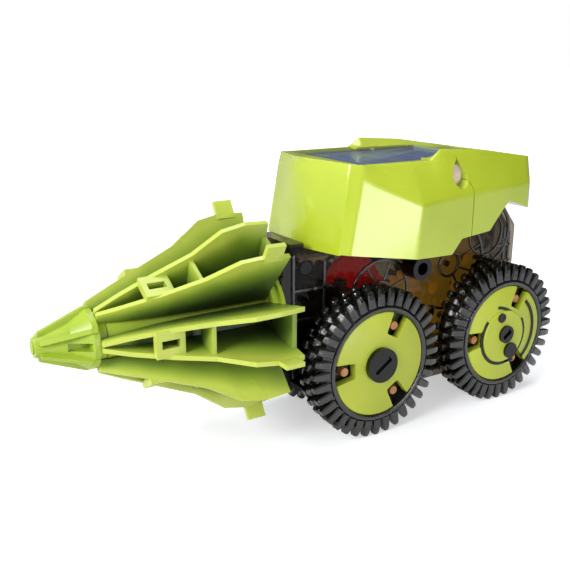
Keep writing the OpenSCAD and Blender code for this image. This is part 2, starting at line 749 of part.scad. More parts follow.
// Side view of the eye's hole
module eye_hole() {
    polygon([for (p = [[-2.9, -1.6], [-1.2, -3.9], [1.4, -3.6], [3, -0.6], [1.9, 2.6], [0.2, 4.2], [-2, 2.4]])
        eye_at + p]);
}

module shell() {
    difference() {
        union() {
            difference() {
                shell_solid(0);
                shell_solid(shell_wall);
            }
            for (side = SIDES) on_side(side) brow();
            // ledge behind the front wall, for the tray
            intersection() {
                shell_solid(shell_wall / 2);
                translate([ledge_x - 0.5, -tray_half - 1.4, tray_base - 3.6]) cube([10, 2 * tray_half + 2.8, 3.6]);
            }
            // posts under the rear deck
            for (y = [-1, 1]) translate([rear_post_at[0] - 2.4, y * rear_post_at[1] - 2.4, tray_base + tray_t])
                cube([4.8, 4.8, shell_top - shell_wall - tray_base - tray_t + 0.6]);
        }
        under_edge();
        // opening over the solar panel
        translate([panel_rear - drop_fit, -brow_in + 0.1, panel_top - 4])
            cube([panel_l + 2 * drop_fit, 2 * brow_in - 0.2, 12]);
        translate([-17, -panel_w / 2 - drop_fit, panel_top - 4])
            cube([17 + panel_front + drop_fit, panel_w + 2 * drop_fit, 12]);
        // room for the panel's edges under the brows
        translate([panel_rear - drop_fit, -panel_w / 2 - drop_fit, panel_top - 4.3])
            cube([panel_l + 2 * drop_fit, panel_w + 2 * drop_fit, 4.3 + drop_fit]);
        across(-40, 40) eye_hole();
        // seats of the eye lenses
        translate([eye_at[0] - 4.4, -eye_back - 1.5, eye_at[1] - 4.5])
            cube([8, 2 * eye_back + 3, 2 * eye_r + 0.4]);
    }
}

// Side view of what belongs to the rear shell
module rear_region(gap) {
    across(-40, 40) polygon([
        [seam_x - gap, 20], [seam_x - gap, eye_at[1] - 3], [eye_at[0] - gap, eye_at[1]],
        [eye_at[0] - gap, shell_top - 1.4], [-15.2 - gap, shell_top - 1.2], [-15.2 - gap, 80], [-90, 80],
        [-90, 20]]);
}

module shell_front() color("yellowgreen") row() difference() {
    shell();
    rear_region(0);
}

module shell_rear() color("yellowgreen") row() intersection() {
    shell();
    rear_region(seam);
}

// Lens with a domed face, set in the shell behind the eye's hole
module eye(side) color("mistyrose") row() on_side(side)
    translate([eye_at[0] - 0.4, eye_back, eye_at[1] - 0.7]) rotate([-90, 0, 0]) rotate_extrude() polygon(concat(
        [[0, 0], [eye_r, 0], [eye_r, 0.2]],
        [for (a = [15:15:90]) [eye_r * cos(a), 0.2 + 1.2 * sin(a)]]));

// ---- tray and panel ----

module body_tray() color([0.1, 0.1, 0.1]) row()
    difference() {
        union() {
            translate([panel_rear - 9, -tray_half, tray_base]) cube([panel_l + 9, 2 * tray_half, tray_t]);
            translate([panel_front - 0.5, -9, tray_base]) cube([ledge_x + 2.2 - panel_front, 18, tray_t]);
            for (at = tray_post_at, side = [-1, 1]) {
                top = at[0] > -10.5 ? front_top : case_top;
                translate([at[0], side * at[1], top]) cylinder(r = 2.2, h = tray_base - top + 0.2);
            }
        }
        for (y = [-1, 1]) {
            translate([rear_post_at[0], y * rear_post_at[1], tray_base - 1]) cylinder(r = screw_r, h = 5);
        }
        // holes for the wires
        for (at = wire_holes) translate([at[0], at[1], tray_base - 1]) cylinder(r = wire_r + 0.3, h = 5);
    }

// Screws up through the tray against the rear shell's posts
module tray_screws() color("black") row()
    for (y = [-1, 1]) translate([rear_post_at[0], y * rear_post_at[1], tray_base]) {
        cylinder(r = screw_r, h = tray_t);
        translate([0, 0, -head_t]) cylinder(r = head_r, h = head_t);
    }

module panel_frame() color([0.08, 0.08, 0.1]) row()
    difference() {
        translate([panel_rear, -panel_w / 2, frame_base]) cube([panel_l, panel_w, panel_t + cells_t]);
        translate([panel_rear + cell_rim, cell_rim - panel_w / 2, frame_base + panel_t])
            cube([panel_l - 2 * cell_rim, panel_w - 2 * cell_rim, cells_t + 1]);
        for (at = wire_holes) translate([at[0], at[1], frame_base - 1]) cylinder(r = wire_r + 0.3, h = 2.4);
    }

module solar_cells() color([0.1, 0.15, 0.4]) row()
    translate([panel_rear + cell_rim, cell_rim - panel_w / 2, frame_base + panel_t])
        cube([panel_l - 2 * cell_rim, panel_w - 2 * cell_rim, cells_t]);

module panel_cover() color([0.8, 0.85, 0.95], 0.3) row()
    translate([panel_rear, -panel_w / 2, panel_top - cover_glass_t])
        cube([panel_l, panel_w, cover_glass_t]);

// ---- wires ----

function unit(v) = v / norm(v);
function side_of(d) = unit(cross(d, [0.3, 0.9, 0.2]));
// Tube with eight sides that follows a route
module tube(route, r) {
    n = 8;
    rings = [for (i = [0:len(route) - 1]) let (
        d = unit(route[min(i + 1, len(route) - 1)] - route[max(i - 1, 0)]),
        u = side_of(d), v = cross(d, u))
        [for (k = [0:n - 1]) route[i] + r * (cos(k * 360 / n) * u + sin(k * 360 / n) * v)]];
    loft(rings, [for (k = [1:n - 2]) [0, k, k + 1]]);
}

// Points between a terminal and a hole, as shares of the way along X, Y and Z
function route(side, hole, shares) = let (
    start = [motor_at[0] + side * terminal_x, terminal_y + terminal_t / 2, terminal_low + terminal_h + 0.02],
    way = [hole[0], hole[1], tray_base + 1.4] - start)
    [for (s = shares) [for (k = [0:2]) start[k] + s[k] * way[k]]];
red_shares = [[0, 0, 0], [0.01, 0.04, 0.2], [0.08, 0.21, 0.42], [0.23, 0.46, 0.56], [0.43, 0.71, 0.61],
    [0.64, 0.89, 0.64], [0.83, 1, 0.68], [0.96, 1, 0.75], [1, 1, 0.85], [1, 1, 1]];
black_shares = [[0, 0, 0], [-0.01, 0.01, 0.17], [0, 0.09, 0.38], [0.08, 0.23, 0.54], [0.22, 0.35, 0.62],
    [0.38, 0.39, 0.65], [0.59, 0.39, 0.68], [0.79, 0.45, 0.71], [0.92, 0.66, 0.73], [0.98, 0.89, 0.75],
    [1, 1, 0.86], [1, 1, 1]];

module wire_red() color("red") row() tube(route(1, wire_holes[0], red_shares), wire_r);
module wire_black() color([0.1, 0.1, 0.1]) row() tube(route(-1, wire_holes[1], black_shares), wire_r);

gearbox_left();
gearbox_right();
front_plate();
shaft_bearing();
drill_bush();
gear_pins();
case_screws();
socket("left");  // socket_left
socket("right");  // socket_right
body_tray();
tray_screws();
shell_front();
shell_rear();
eye("left");  // eye_left
eye("right");  // eye_right
panel_frame();
solar_cells();
panel_cover();
motor_can();
motor_cap();
motor_terminals();
wire_red();
wire_black();
motor_shaft();
motor_pinion();
compound_gear();
drive_gear();
crown_gear();
drill_shaft();
drill_pinion();
drill_hub();
drill_nose();
for (i = [1:PETALS]) drill_petal(i);
axle(front_at);  // front_axle
axle_gear(front_at, axle_turn_front);  // front_axle_gear
window_pins(front_at);  // front_window_pins
axle(rear_at);  // rear_axle
axle_gear(rear_at, axle_turn_rear);  // rear_axle_gear
window_pins(rear_at);  // rear_window_pins
crank_pins();
for (s = SIDES) wheel(front_at, s);
for (s = SIDES) front_cover(s);
for (s = SIDES) axle_cap(front_at, s, cap_r);
for (s = SIDES) wheel(rear_at, s);
for (s = SIDES) rear_cover(s);
for (s = SIDES) axle_cap(rear_at, s, 3);
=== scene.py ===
import math

import bmesh
import bpy
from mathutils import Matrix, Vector


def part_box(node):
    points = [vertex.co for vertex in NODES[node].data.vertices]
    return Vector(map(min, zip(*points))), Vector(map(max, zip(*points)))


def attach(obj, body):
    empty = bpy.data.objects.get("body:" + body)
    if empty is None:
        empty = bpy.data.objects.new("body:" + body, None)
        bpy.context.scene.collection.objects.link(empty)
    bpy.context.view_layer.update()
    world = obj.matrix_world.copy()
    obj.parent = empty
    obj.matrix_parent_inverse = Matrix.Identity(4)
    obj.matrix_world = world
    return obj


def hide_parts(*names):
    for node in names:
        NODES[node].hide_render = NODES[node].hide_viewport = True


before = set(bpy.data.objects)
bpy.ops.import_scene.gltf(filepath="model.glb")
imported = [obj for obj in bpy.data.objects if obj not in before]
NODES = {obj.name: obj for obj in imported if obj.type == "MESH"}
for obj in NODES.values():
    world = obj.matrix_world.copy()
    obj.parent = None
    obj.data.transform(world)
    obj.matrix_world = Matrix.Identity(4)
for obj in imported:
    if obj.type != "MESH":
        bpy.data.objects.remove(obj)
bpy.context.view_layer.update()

bl_info = {
    "name": "Solar robot kit, drill vehicle",
    "version": (1, 0, 0),
    "blender": (4, 5, 0),
    "location": "View3D > Sidebar > Robot kit",
    "description": "Dresses the drill vehicle's frame with its moulded pieces, finishes and studio",
    "category": "Object",
}

MM = 0.001
SIDES = ("left", "right")
AXLES = ("front", "rear")
COVER_R = 16.3  # radius of a hub cover, in mm
SEAT_R = 16.5  # radius of the wheel's seat for it
WINDOW_TURNS = (118, 238, 358)  # where the hub's windows stand, in degrees
SEAM_GAP = 0.34  # gap between the two halves of the shell, in mm


# ---- shaders ----

def linear(hex_code):
    """sRGB hex to linear RGBA."""
    values = [int(hex_code[i:i + 2], 16) / 255 for i in (1, 3, 5)]
    return tuple(v / 12.92 if v <= 0.04045 else ((v + 0.055) / 1.055) ** 2.4 for v in values) + (1.0,)


def add(tree, kind, settings=None, links=None):
    """Adds a node. settings holds attributes and input values, links holds input: (node, output)."""
    node = tree.nodes.new(kind)
    for key, value in (settings or {}).items():
        if isinstance(key, str) and hasattr(node, key):
            setattr(node, key, value)
        else:
            node.inputs[key].default_value = value
    for key, (source, output) in (links or {}).items():
        tree.links.new(source.outputs[output], node.inputs[key])
    return node


def new_material(name):
    """An empty material with object coordinates and an output."""
    material = bpy.data.materials.new(name)
    material.use_nodes = True
    tree = material.node_tree
    tree.nodes.clear()
    place = add(tree, "ShaderNodeTexCoord")
    output = add(tree, "ShaderNodeOutputMaterial")
    return material, tree, place, output


def ramp(node, stops):
    """Sets a colour ramp's stops from (position, colour) pairs."""
    elements = node.color_ramp.elements
    while len(elements) > len(stops):
        elements.remove(elements[-1])
    while len(elements) < len(stops):
        elements.new(1.0)
    for element, (position, colour) in zip(elements, stops):
        element.position = position
        element.color = colour


def moulded(name, dark, light, rough, flow_mm, grain_mm, grain_depth,
            glow=0.0, coat=0.0, shine=0.5, lit=0.0):
    """Injection-moulded plastic: slow colour flow, a fine mould grain and slightly uneven gloss."""
    material, tree, place, output = new_material(name)
    flow = add(tree, "ShaderNodeTexNoise",
               {"Scale": 1 / (flow_mm * MM), "Detail": 2.0, "Roughness": 0.45},
               {"Vector": (place, "Object")})
    tint = add(tree, "ShaderNodeValToRGB", None, {"Fac": (flow, "Fac")})
    ramp(tint, [(0.3, linear(dark)), (0.7, linear(light))])
    gloss = add(tree, "ShaderNodeMapRange",
                {"From Min": 0.3, "From Max": 0.7, "To Min": rough * 0.8, "To Max": rough * 1.3},
                {"Value": (flow, "Fac")})
    grain = add(tree, "ShaderNodeTexNoise",
                {"Scale": 1 / (grain_mm * MM), "Detail": 3.0, "Roughness": 0.6},
                {"Vector": (place, "Object")})
    bump = add(tree, "ShaderNodeBump", {"Strength": 0.35, "Distance": grain_depth * MM},
               {"Height": (grain, "Fac")})
    # lit adds emission in the light colour: a painted glow
    surface = add(tree, "ShaderNodeBsdfPrincipled",
                  {"IOR": 1.53, "Coat Weight": coat, "Coat Roughness": 0.12, "Specular IOR Level": shine,
                   "Subsurface Weight": glow, "Subsurface Scale": 1.5 * MM,
                   "Emission Color": linear(light), "Emission Strength": lit,
                   "Subsurface Radius": (0.8, 1.0, 0.25)},
                  {"Base Color": (tint, "Color"), "Roughness": (gloss, "Result"),
                   "Normal": (bump, "Normal")})
    tree.links.new(surface.outputs["BSDF"], output.inputs["Surface"])
    return material


def petal_painted_shade(name, stops, rough):
    """Moulded petals with painted shade and painted light: the base colour is darker green down in the
    channels by the drill's axis and paler out along the rims.
    """
    material = moulded(name, "#94AC2C", "#A5BC38", rough, 14, 0.5, 0.02, glow=0.06)
    tree = material.node_tree
    surface = next(node for node in tree.nodes if node.type == "BSDF_PRINCIPLED")
    low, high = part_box("drill_petal_1")
    nose_low, nose_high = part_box("drill_nose")
    axis = (nose_low + nose_high) / 2
    place = add(tree, "ShaderNodeTexCoord")
    axes = add(tree, "ShaderNodeSeparateXYZ", None, {"Vector": (place, "Object")})
    off = add(tree, "ShaderNodeVectorMath", {"operation": "SUBTRACT", 1: (0, 0, axis.z)},
              {0: (place, "Object")})
    across = add(tree, "ShaderNodeVectorMath", {"operation": "MULTIPLY", 1: (0, 1, 1)}, {0: (off, "Vector")})
    radius = add(tree, "ShaderNodeVectorMath", {"operation": "LENGTH"}, {0: (across, "Vector")})
    rim = add(tree, "ShaderNodeMapRange",
              {"From Min": low.x, "From Max": high.x, "To Min": high.z - axis.z, "To Max": 9.5 * MM},
              {"Value": (axes, "X")})
    share = add(tree, "ShaderNodeMath", {"operation": "DIVIDE"},
                {0: (radius, "Value"), 1: (rim, "Result")})
    cloud = add(tree, "ShaderNodeTexNoise", {"Scale": 1 / (8 * MM), "Detail": 2.0},
                {"Vector": (place, "Object")})
    drift = add(tree, "ShaderNodeMapRange", {"To Min": -0.06, "To Max": 0.06}, {"Value": (cloud, "Fac")})
    shade = add(tree, "ShaderNodeMath", {"operation": "ADD"}, {0: (share, "Value"), 1: (drift, "Result")})
    # painted shade near the drill's axis and painted light at the rims: the colour follows the distance from
    # the axis
    tint = add(tree, "ShaderNodeValToRGB", None, {"Fac": (shade, "Value")})
    ramp(tint, [(at, linear(colour)) for at, colour in stops])
    tree.links.new(tint.outputs["Color"], surface.inputs["Base Color"])
    return material


def clear_smoke(name, tint, body, clear_face, clear_edge):
    """Clear smoky plastic: tinted see-through walls whose edges gather into a darker, glossier line."""
    material, tree, place, output = new_material(name)
    flow = add(tree, "ShaderNodeTexNoise", {"Scale": 1 / (9 * MM), "Detail": 2.0},
               {"Vector": (place, "Object")})
    colour = add(tree, "ShaderNodeValToRGB", None, {"Fac": (flow, "Fac")})
    ramp(colour, [(0.3, linear(body[0])), (0.7, linear(body[1]))])
    ripple = add(tree, "ShaderNodeTexNoise", {"Scale": 1 / (2.2 * MM), "Detail": 1.0},
                 {"Vector": (place, "Object")})
    bump = add(tree, "ShaderNodeBump", {"Strength": 0.4, "Distance": 0.05 * MM},
               {"Height": (ripple, "Fac")})
    surface = add(tree, "ShaderNodeBsdfPrincipled",
                  {"IOR": 1.5, "Roughness": 0.07, "Coat Weight": 0.3, "Coat Roughness": 0.04},
                  {"Base Color": (colour, "Color"), "Normal": (bump, "Normal")})
    window = add(tree, "ShaderNodeBsdfTransparent", {"Color": linear(tint)})
    edge = add(tree, "ShaderNodeLayerWeight", {"Blend": 0.35}, {"Normal": (bump, "Normal")})
    cover = add(tree, "ShaderNodeMapRange", {"To Min": 1 - clear_face, "To Max": 1 - clear_edge},
                {"Value": (edge, "Facing")})
    mix = add(tree, "ShaderNodeMixShader", None,
              {"Fac": (cover, "Result"), 1: (window, "BSDF"), 2: (surface, "BSDF")})
    tree.links.new(mix.outputs["Shader"], output.inputs["Surface"])
    return material


def turned_steel(name, dark, light, rough, line_mm, axis):
    """Drawn or turned bright steel with fine tool lines round the bar."""
    material, tree, place, output = new_material(name)
    stretch = add(tree, "ShaderNodeMapping", {"Scale": axis}, {"Vector": (place, "Object")})
    lines = add(tree, "ShaderNodeTexNoise", {"Scale": 1 / (line_mm * MM), "Detail": 4.0},
                {"Vector": (stretch, "Vector")})
    tint = add(tree, "ShaderNodeValToRGB", None, {"Fac": (lines, "Fac")})
    ramp(tint, [(0.25, linear(dark)), (0.75, linear(light))])
    gloss = add(tree, "ShaderNodeMapRange", {"To Min": rough * 0.7, "To Max": rough * 1.4},
                {"Value": (lines, "Fac")})
    bump = add(tree, "ShaderNodeBump", {"Strength": 0.25, "Distance": 0.02 * MM}, {"Height": (lines, "Fac")})
    surface = add(tree, "ShaderNodeBsdfPrincipled", {"Metallic": 1.0},
                  {"Base Color": (tint, "Color"), "Roughness": (gloss, "Result"), "Normal": (bump, "Normal")})
    tree.links.new(surface.outputs["BSDF"], output.inputs["Surface"])
    return material


def clear_sheet(name):
    """Clear cast resin over the cells: almost nothing face on, with the sky's sheen at a low angle."""
    material, tree, place, output = new_material(name)
    ripple = add(tree, "ShaderNodeTexNoise", {"Scale": 1 / (14 * MM), "Detail": 1.0},
                 {"Vector": (place, "Object")})
    bump = add(tree, "ShaderNodeBump", {"Strength": 0.15, "Distance": 0.03 * MM}, {"Height": (ripple, "Fac")})
    gloss = add(tree, "ShaderNodeBsdfPrincipled",
                {"Base Color": linear("#C9D2DC"), "Roughness": 0.06, "IOR": 1.5, "Specular IOR Level": 0.8},
                {"Normal": (bump, "Normal")})
    window = add(tree, "ShaderNodeBsdfTransparent", {"Color": linear("#F4F8FF")})
    sheen = add(tree, "ShaderNodeFresnel", {"IOR": 1.35}, {"Normal": (bump, "Normal")})
    cover = add(tree, "ShaderNodeMapRange", {"To Min": 0.01, "To Max": 0.4}, {"Value": (sheen, "Fac")})
    mix = add(tree, "ShaderNodeMixShader", None,
              {"Fac": (cover, "Result"), 1: (window, "BSDF"), 2: (gloss, "BSDF")})
    tree.links.new(mix.outputs["Shader"], output.inputs["Surface"])
    return material


def solar_silicon(name, size, strips, fingers):
    """Blue silicon strips under resin: pale gaps between strips and fine silver fingers across them."""
    material, tree, place, output = new_material(name)
    axes = add(tree, "ShaderNodeSeparateXYZ", None, {"Vector": (place, "Object")})
    pitch_x, pitch_y = size[0] / strips, size[1] / fingers
    wave_x = add(tree, "ShaderNodeMath", {"operation": "PINGPONG", 1: pitch_x / 2}, {0: (axes, "X")})
    wave_y = add(tree, "ShaderNodeMath", {"operation": "PINGPONG", 1: pitch_y / 2}, {0: (axes, "Y")})
    gap = add(tree, "ShaderNodeMath", {"operation": "LESS_THAN", 1: 0.35 * MM}, {0: (wave_x, "Value")})
    finger = add(tree, "ShaderNodeMath", {"operation": "LESS_THAN", 1: 0.09 * MM}, {0: (wave_y, "Value")})
    crystal = add(tree, "ShaderNodeTexVoronoi", {"Scale": 1 / (5 * MM)}, {"Vector": (place, "Object")})
    blue = add(tree, "ShaderNodeValToRGB", None, {"Fac": (crystal, "Distance")})
    ramp(blue, [(0.1, linear("#16265E")), (0.8, linear("#2C489C"))])
    with_fingers = add(tree, "ShaderNodeMix", {"data_type": "RGBA", 7: linear("#8E99AC")},
                       {0: (finger, "Value"), 6: (blue, "Color")})
    colour = add(tree, "ShaderNodeMix", {"data_type": "RGBA", 7: linear("#AEB6BF")},
                 {0: (gap, "Value"), 6: (with_fingers, 2)})
    bump = add(tree, "ShaderNodeBump", {"Strength": 0.3, "Distance": 0.03 * MM},
               {"Height": (finger, "Value")})
    surface = add(tree, "ShaderNodeBsdfPrincipled", {"IOR": 1.6, "Roughness": 0.2, "Coat Weight": 0.8},
                  {"Base Color": (colour, 2), "Normal": (bump, "Normal")})
    tree.links.new(surface.outputs["BSDF"], output.inputs["Surface"])
    return material


def smoke_with_painted_sheen(name, core, rim, rough, grain_mm):
    """Thick clear smoky plastic, dark where it is seen face on, and paler along its edges by a painted sheen,
    under a glassy coat.
    """
    material, tree, place, output = new_material(name)
    cloud = add(tree, "ShaderNodeTexNoise", {"Scale": 1 / (3.5 * MM), "Detail": 3.0},
                {"Vector": (place, "Object")})
    body = add(tree, "ShaderNodeValToRGB", None, {"Fac": (cloud, "Fac")})
    ramp(body, [(0.32, linear(core[0])), (0.68, linear(core[1]))])
    ripple = add(tree, "ShaderNodeTexNoise", {"Scale": 1 / (grain_mm * MM), "Detail": 2.0},
                 {"Vector": (place, "Object")})
    bump = add(tree, "ShaderNodeBump", {"Strength": 0.9, "Distance": 0.2 * MM}, {"Height": (ripple, "Fac")})
    edge = add(tree, "ShaderNodeLayerWeight", {"Blend": 0.5}, {"Normal": (bump, "Normal")})
    # painted sheen: where the surface is seen edge on, the base colour is mixed toward the pale rim colour
    gather = add(tree, "ShaderNodeMapRange",
                 {"From Min": 0.5, "From Max": 1.0, "To Min": 0.0, "To Max": 0.7},
                 {"Value": (edge, "Facing")})
    colour = add(tree, "ShaderNodeMix", {"data_type": "RGBA", 7: linear(rim)},
                 {0: (gather, "Result"), 6: (body, "Color")})
    surface = add(tree, "ShaderNodeBsdfPrincipled",
                  {"IOR": 1.59, "Roughness": rough, "Coat Weight": 0.7, "Coat Roughness": 0.04,
                   "Specular IOR Level": 0.5},
                  {"Base Color": (colour, 2), "Normal": (bump, "Normal")})
    tree.links.new(surface.outputs["BSDF"], output.inputs["Surface"])
    return material


FINISHES = {}


def finish(name):
    """Each finish is made once, by its own entry below."""
    if name not in FINISHES:
        FINISHES[name] = MAKERS[name]()
    return FINISHES[name]


MAKERS = {
    # glossy lime ABS off a polished mould: broad soft reflections and a hint of light in thin edges
    "lime_abs_polished": lambda: moulded(
        "lime_abs_polished", "#ACBE2A", "#BACA36", 0.24, 26, 0.9, 0.012, glow=0.1, coat=0.7),
    # the same ABS off a plainer mould: a duller, slightly deeper green
    "lime_abs_satin": lambda: moulded(
        "lime_abs_satin", "#94AC2C", "#A5BC38", 0.34, 14, 0.5, 0.02, glow=0.08),
    # satin ABS of the petals with painted shade and light: dark down in the channels, bright along the thin
    # rims
    "lime_abs_petal_painted_shade": lambda: petal_painted_shade("lime_abs_petal_painted_shade", [
        (0.44, "#34431F"), (0.58, "#4F6528"), (0.74, "#7B9432"), (0.88, "#A3B742"),
        (0.97, "#BBC850")], 0.34),
    # satin ABS of the hub covers: flat and even, with a soft broad shine
    "lime_abs_cover": lambda: moulded(
        "lime_abs_cover", "#A9B62E", "#B8C23A", 0.34, 18, 0.5, 0.015, glow=0.08),
    # thin clear smoky walls: the gears show through, dimmed and browned
    "smoky_polystyrene": lambda: clear_smoke(
        "smoky_polystyrene", "#CFC8BB", ("#0A0908", "#131210"), 0.9, 0.1),
    # the casing's ribs and rings are thick, so they gather the smoke into black lines; their bright edges are
    # partly real gloss and partly a painted sheen, a paler colour where they are seen edge on
    "smoky_rib_clear": lambda: smoke_with_painted_sheen(
        "smoky_rib_clear", ("#070605", "#100F0C"), "#2C2B26", 0.08, 0.8),
    # the tyres are thick too: near black, with glints where the moulded surface ripples, and a painted sheen
    # that turns them paler grey where they are seen edge on
    "smoky_wheel_clear": lambda: smoke_with_painted_sheen(
        "smoky_wheel_clear", ("#080705", "#1A1914"), "#54564A", 0.1, 1.1),
    # black ABS: deep and close to glossy, with small sharp highlights
    "black_abs_satin": lambda: moulded(
        "black_abs_satin", "#050505", "#0B0B0B", 0.18, 9, 0.4, 0.02, shine=0.4),
    # acetal of the bearings and gears: waxy and low in shine
    "grey_acetal": lambda: moulded(
        "grey_acetal", "#242422", "#30302D", 0.36, 9, 0.4, 0.02, shine=0.35),
    "white_acetal": lambda: moulded("white_acetal", "#D8D6CE", "#E6E4DC", 0.38, 9, 0.4, 0.02, glow=0.1),
    # the gears' milky plastic carries a little light in it; a painted glow, emission, makes them show through
    # the dark casing
    "amber_acetal": lambda: moulded(
        "amber_acetal", "#C99A22", "#E6BC45", 0.35, 8, 0.4, 0.02, glow=0.2, lit=0.34),
    "yellow_acetal": lambda: moulded(
        "yellow_acetal", "#DDAC22", "#F2C843", 0.35, 8, 0.4, 0.02, glow=0.2, lit=0.3),
    "red_acetal": lambda: moulded(
        "red_acetal", "#C01218", "#E2242A", 0.32, 8, 0.4, 0.02, glow=0.2, lit=0.4),
    # copper-coloured plastic of the window pins: warm and plain, without a metal's mirror
    "copper_plastic": lambda: moulded("copper_plastic", "#A9703F", "#C98E58", 0.3, 3, 0.4, 0.02),
    # drawn bar: bright, with fine lines round it
    "steel_bar_drawn": lambda: turned_steel(
        "steel_bar_drawn", "#9A9A9C", "#D2D2D4", 0.22, 0.6, (1, 1, 0.1)),
    # plated sheet of the motor's can: greyer, with long faint lines
    "steel_sheet_plated": lambda: turned_steel(
        "steel_sheet_plated", "#6C6C6A", "#8E8E8B", 0.3, 0.8, (1, 0.12, 1)),
    # blackened screws: dark metal that lights only at its edges
    "screw_steel_black": lambda: turned_steel(
        "screw_steel_black", "#1B1B1C", "#3C3C3E", 0.35, 0.5, (1, 1, 1)),
    # tinned brass strip of the motor's terminals: pale gold and a little dull
    "brass_strip_tinned": lambda: turned_steel(
        "brass_strip_tinned", "#B59A55", "#D8C07A", 0.3, 0.5, (1, 1, 1)),
    # cast resin over the cells: clear, with a sheen at a low angle
    "panel_resin_clear": lambda: clear_sheet("panel_resin_clear"),
    # black resin round the cells: a dark, slightly blue border
    "frame_black_resin": lambda: moulded(
        "frame_black_resin", "#101218", "#1C2028", 0.28, 9, 0.4, 0.015),
    # pale pink plastic of the eyes: smooth, with light carried in it
    "eye_pink_plastic": lambda: moulded(
        "eye_pink_plastic", "#DCC3BE", "#EEDCD2", 0.22, 3, 0.4, 0.01, glow=0.2),
    # soft PVC sleeves of the wires: plain colour and a dull shine
    "wire_sleeve_red": lambda: moulded("wire_sleeve_red", "#A81414", "#BF2020", 0.42, 4, 0.3, 0.02),
    "wire_sleeve_black": lambda: moulded("wire_sleeve_black", "#101010", "#1A1A1A", 0.42, 4, 0.3, 0.02),
}


# ---- carrying CAD pieces over ----

def dress(node, material, bevel_mm=0.0, segments=2, angle=32):
    """Keeps a CAD piece, rounds its edges and gives it a finish."""
    piece = NODES[node]
    piece.data.materials.clear()
    piece.data.materials.append(finish(material))
    for polygon in piece.data.polygons:
        polygon.use_smooth = True
    if bevel_mm:
        soften(piece, bevel_mm, segments, angle)
    smooth = piece.modifiers.new("Face normals", "WEIGHTED_NORMAL")
    smooth.keep_sharp = True


# ---- building new pieces ----

def finish_mesh(name, build, material, body, replaces=None, smooth_deg=35):
    """Turns a filled bmesh into a piece on its body, shaded smooth up to an angle."""
    bmesh.ops.recalc_face_normals(build, faces=build.faces)
    mesh = bpy.data.meshes.new(name)
    build.to_mesh(mesh)
    build.free()
    mesh.materials.append(finish(material))
    mesh.shade_smooth()
    mesh.set_sharp_from_angle(angle=math.radians(smooth_deg))
    piece = bpy.data.objects.new(name, mesh)
    bpy.context.scene.collection.objects.link(piece)
    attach(piece, body)
    if replaces:
        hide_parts(*replaces)
    return piece


def loft_loops(build, loops, caps=(False, False)):
    """Skins a list of closed point loops with quads."""
    rings = [[build.verts.new(point) for point in loop] for loop in loops]
    for low, high in zip(rings, rings[1:]):
        count = len(low)
        for i in range(count):
            j = (i + 1) % count
            build.faces.new((low[i], low[j], high[j], high[i]))
    for cap, ring in zip(caps, (rings[0], rings[-1])):
        if cap:
            build.faces.new(ring)
    return rings


def turn_profile(build, profile, centre, steps, side=1):
    """Turns a closed (radius, y) outline round the Y axis through a centre. Values in mm."""
    rings = []
    for i in range(steps):
        angle = 2 * math.pi * i / steps
        rings.append([build.verts.new((centre.x + r * MM * math.cos(angle), side * y * MM,
                                       centre.z + r * MM * math.sin(angle))) for r, y in profile])
    count = len(profile)
    for i in range(steps):
        low, high = rings[i], rings[(i + 1) % steps]
        for k in range(count):
            build.faces.new((low[k], low[(k + 1) % count], high[(k + 1) % count], high[k]))


def extrude_outline(build, outline, y0, y1):
    """A closed prism of an (x, z) outline between two y values. Values in mm."""
    loops = [[Vector((x, y, z)) * MM for x, z in outline] for y in (y0, y1)]
    loft_loops(build, loops, caps=(True, True))


def bar_outline(start, end, width):
    """Outline of a straight bar between two (x, z) points."""
    a, b = Vector(start), Vector(end)
    across = (b - a).normalized().orthogonal() * width / 2
    return [a - across, b - across, b + across, a + across]


def around(centre, radius, angle):
    """The (x, z) point at a radius and an angle in radians from a centre."""
    return centre[0] + radius * math.cos(angle), centre[1] + radius * math.sin(angle)


def heading(degrees):
    """The (x, z) direction of an angle in degrees."""
    return Vector((math.cos(math.radians(degrees)), math.sin(math.radians(degrees))))


def arc_outline(centre, radius, width, first, last, steps=24):
    """Outline of a curved bar about an (x, z) centre, from one angle to another in degrees."""
    turns = [math.radians(first + (last - first) * i / steps) for i in range(steps + 1)]
    return ([around(centre, radius + width / 2, angle) for angle in turns]
            + [around(centre, radius - width / 2, angle) for angle in reversed(turns)])


def soften(piece, width_mm, segments=2, angle=35):
    """Rounds the sharp edges of a piece."""
    bevel = piece.modifiers.new("Rounded edges", "BEVEL")
    bevel.width = width_mm * MM
    bevel.segments = segments
    bevel.limit_method = "ANGLE"
    bevel.angle_limit = math.radians(angle)
    bevel.harden_normals = True


def middle(node):
    """The (x, z) middle of a CAD node's box, in mm."""
    low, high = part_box(node)
    return ((low.x + high.x) / 2 / MM, (low.z + high.z) / 2 / MM)


